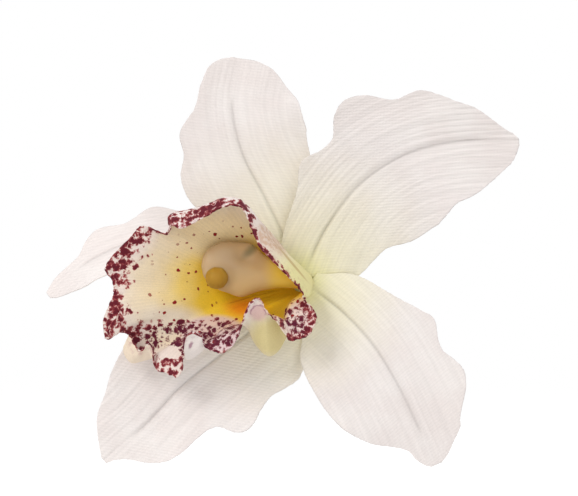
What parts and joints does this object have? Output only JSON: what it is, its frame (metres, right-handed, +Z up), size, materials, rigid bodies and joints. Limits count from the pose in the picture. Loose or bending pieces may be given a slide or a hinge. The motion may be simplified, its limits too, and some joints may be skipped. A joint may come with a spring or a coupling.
{
  "type": "orchid clip",
  "caption": "Artificial orchid bloom of fabric petals with a ruffled printed lip and a moulded column, glued through a felt pad to a spring clip.",
  "frame": {"origin": "middle of the clip's mouth, on the axis of the bloom", "axes": "+Z up in the picture, along the clip from its tip to its levers; the bloom faces -Y; +X to the viewer's right"},
  "size_m": [0.1163, 0.0421, 0.1006],
  "materials": {
    "petal_fabric": "satin-weave fabric, stiffened",
    "printed_lip_fabric": "fabric printed with maroon blotches and a yellow throat",
    "wrapped_wire": "coated soft wire",
    "column_plastic": "moulded soft plastic, matte",
    "ochre_plastic": "painted soft plastic",
    "calyx_plastic": "moulded soft plastic",
    "hot_glue": "set hot-melt glue",
    "felt": "pressed felt",
    "clip_steel": "nickel-plated steel",
    "spring_steel": "bright spring wire"
  },
  "bodies": {
    "bloom": {"upper_left_petal": "petal_fabric", "upper_right_petal": "petal_fabric", "lower_right_petal": "petal_fabric", "lower_left_petal": "petal_fabric", "left_petal": "petal_fabric", "upper_left_wire": "wrapped_wire", "upper_right_wire": "wrapped_wire", "lower_right_wire": "wrapped_wire", "lower_left_wire": "wrapped_wire", "left_wire": "wrapped_wire", "lip": "printed_lip_fabric", "column": "column_plastic", "anther_cap": "ochre_plastic", "calyx": "calyx_plastic", "flower_glue": "hot_glue", "felt_pad": "felt", "clip_glue": "hot_glue", "clip_upper_jaw": "clip_steel", "clip_spring": "spring_steel", "clip_pin": "clip_steel"},
    "lower_jaw": {"clip_lower_jaw": "clip_steel"}
  },
  "joints": [
    {"name": "jaw_hinge", "type": "hinge", "parent": "bloom", "child": "lower_jaw", "pos_m": [0, 0, 0.012], "axis": [1, 0, 0], "range_deg": [0, 25], "stiffness_Nm_per_rad": 0.1, "springref_deg": -22.92, "deforming": ["clip_spring"]}
  ]
}
